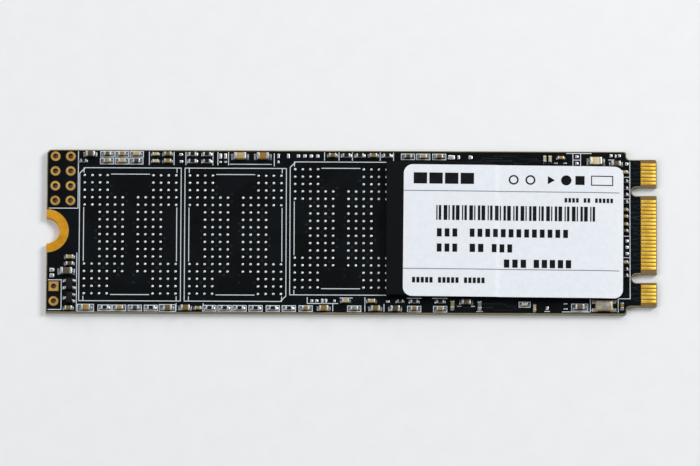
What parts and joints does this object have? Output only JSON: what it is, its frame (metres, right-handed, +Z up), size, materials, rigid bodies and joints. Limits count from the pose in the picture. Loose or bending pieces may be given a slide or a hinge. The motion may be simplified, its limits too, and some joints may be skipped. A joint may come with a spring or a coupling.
{
  "type": "gumstick solid state drive",
  "caption": "Flat bare-board solid state drive with a notched gold card edge, a half-round mounting notch, edge chips, empty memory sites and a white label.",
  "frame": {"origin": "under the middle of the board, on the plane that its lower face rests on", "axes": "+X towards the card edge, +Y towards the long edge beside the header holes, +Z up through the label"},
  "size_m": [0.08, 0.022, 0.0021],
  "materials": {
    "laminate": "pale green-yellow glass-epoxy laminate, sawn edge",
    "mask_film_top": "black solder mask, semi-gloss",
    "mask_film_bottom": "black solder mask, semi-gloss",
    "contact_gold_top": "hard gold over nickel, bright",
    "contact_gold_bottom": "hard gold over nickel, bright",
    "notch_gold": "immersion gold, satin",
    "header_gold": "immersion gold, satin",
    "jumper_gold": "immersion gold, satin",
    "frame_ink": "white epoxy legend ink, matte",
    "legend_ink": "white epoxy legend ink, matte",
    "land_tin": "levelled solder, bright",
    "memory_mould": "moulded epoxy, fine matte",
    "memory_solder": "reflowed solder",
    "controller_mould": "moulded epoxy, fine matte",
    "controller_solder": "reflowed solder",
    "coil_ferrite": "pressed iron powder, matte grey",
    "coil_tin": "tinned copper",
    "regulator_mould": "moulded epoxy, fine matte",
    "regulator_solder": "reflowed solder",
    "tan_ceramic": "fired tan ceramic, satin",
    "orange_ceramic": "fired orange-brown ceramic, satin",
    "brown_ceramic": "fired brown ceramic, satin",
    "olive_ceramic": "fired olive ceramic, satin",
    "grey_ceramic": "fired grey ceramic, satin",
    "cream_ceramic": "fired cream ceramic, satin",
    "capacitor_tin": "tin over nickel, satin",
    "resistor_alumina": "white alumina, matte",
    "resistor_glaze": "black glaze over the film",
    "resistor_tin": "tin over nickel, satin",
    "cream_moulding": "cream moulded block, satin",
    "cream_block_tin": "tinned ends, satin",
    "crystal_ceramic": "brown ceramic, satin",
    "crystal_lid_metal": "plated lid, satin",
    "crystal_gold": "gold-plated corners",
    "transistor_mould": "moulded epoxy, matte",
    "lead_tin": "tinned leads",
    "solder": "reflowed solder, bright",
    "pad_solder": "levelled solder, bright",
    "label_paper": "coated white label paper, matte",
    "rule_ink": "grey printed ink, matte",
    "bar_ink": "black printed ink, matte",
    "block_ink": "black printed ink, matte",
    "mark_ink": "black printed ink, matte"
  },
  "bodies": {
    "root": {"board_core": "laminate", "mask_top": "mask_film_top", "mask_bottom": "mask_film_bottom", "contacts_top": "contact_gold_top", "contacts_bottom": "contact_gold_bottom", "notch_plating": "notch_gold", "header_holes": "header_gold", "jumper_holes": "jumper_gold", "site_frames": "frame_ink", "part_legend": "legend_ink", "site_lands": "land_tin", "memory_package": "memory_mould", "memory_balls": "memory_solder", "controller_package": "controller_mould", "controller_balls": "controller_solder", "power_coil": "coil_ferrite", "coil_ends": "coil_tin", "regulator": "regulator_mould", "regulator_pads": "regulator_solder", "tan_capacitors": "tan_ceramic", "orange_capacitors": "orange_ceramic", "brown_capacitors": "brown_ceramic", "olive_capacitors": "olive_ceramic", "grey_capacitors": "grey_ceramic", "cream_capacitors": "cream_ceramic", "capacitor_ends": "capacitor_tin", "resistor_blocks": "resistor_alumina", "resistor_coats": "resistor_glaze", "resistor_ends": "resistor_tin", "cream_block": "cream_moulding", "cream_block_ends": "cream_block_tin", "crystal_base": "crystal_ceramic", "crystal_lid": "crystal_lid_metal", "crystal_corners": "crystal_gold", "transistor_bodies": "transistor_mould", "transistor_leads": "lead_tin", "solder_joints": "solder", "bare_pads": "pad_solder", "label": "label_paper", "label_rules": "rule_ink", "label_bars": "bar_ink", "label_blocks": "block_ink", "label_marks": "mark_ink"}
  },
  "joints": []
}
